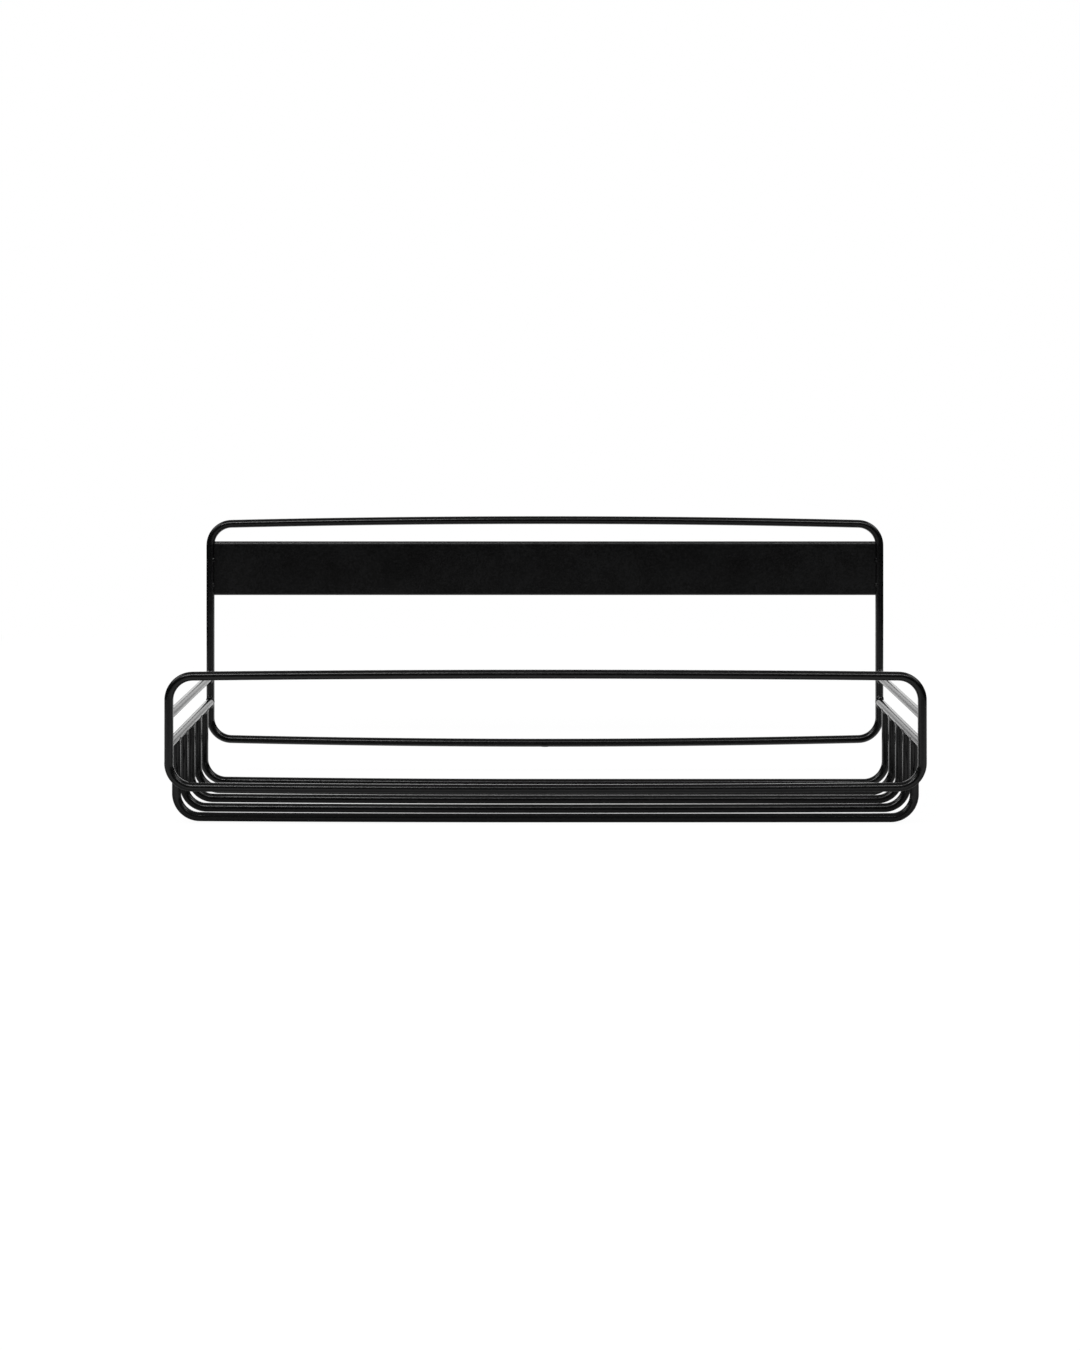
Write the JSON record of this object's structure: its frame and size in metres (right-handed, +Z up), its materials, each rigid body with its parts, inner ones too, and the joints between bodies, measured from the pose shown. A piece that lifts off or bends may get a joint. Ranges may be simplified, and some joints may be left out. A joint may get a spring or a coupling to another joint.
{
  "type": "wire wall shelf",
  "caption": "Welded wire wall shelf: two rounded wire loops joined by side rails, bent base wires below and a flat bar across the taller back frame, in satin black.",
  "frame": {"origin": "middle of the shelf's footprint, on the surface that the base wires stand on", "axes": "+X along the width, to the right as seen from the front; +Y back towards the wall; +Z up"},
  "size_m": [0.4414, 0.1254, 0.171],
  "materials": {
    "wire_coat": "satin black powder coat with a fine grain, on round steel wire",
    "bar_coat": "satin black powder coat with a fine grain, on flat steel bar",
    "weld_coat": "satin black powder coat over weld beads"
  },
  "bodies": {
    "root": {"front_loop": "wire_coat", "back_frame": "wire_coat", "lower_rail_left": "wire_coat", "lower_rail_right": "wire_coat", "upper_rail_left": "wire_coat", "upper_rail_right": "wire_coat", "base_wire_1": "wire_coat", "base_wire_2": "wire_coat", "base_wire_3": "wire_coat", "base_wire_4": "wire_coat", "base_wire_5": "wire_coat", "wall_bar": "bar_coat", "front_rail_welds_left": "weld_coat", "front_rail_welds_right": "weld_coat", "back_rail_welds_left": "weld_coat", "back_rail_welds_right": "weld_coat", "base_wire_welds_left": "weld_coat", "base_wire_welds_right": "weld_coat", "bar_weld_left": "weld_coat", "bar_weld_right": "weld_coat", "front_loop_seam": "weld_coat", "back_frame_seam": "weld_coat"}
  },
  "joints": []
}
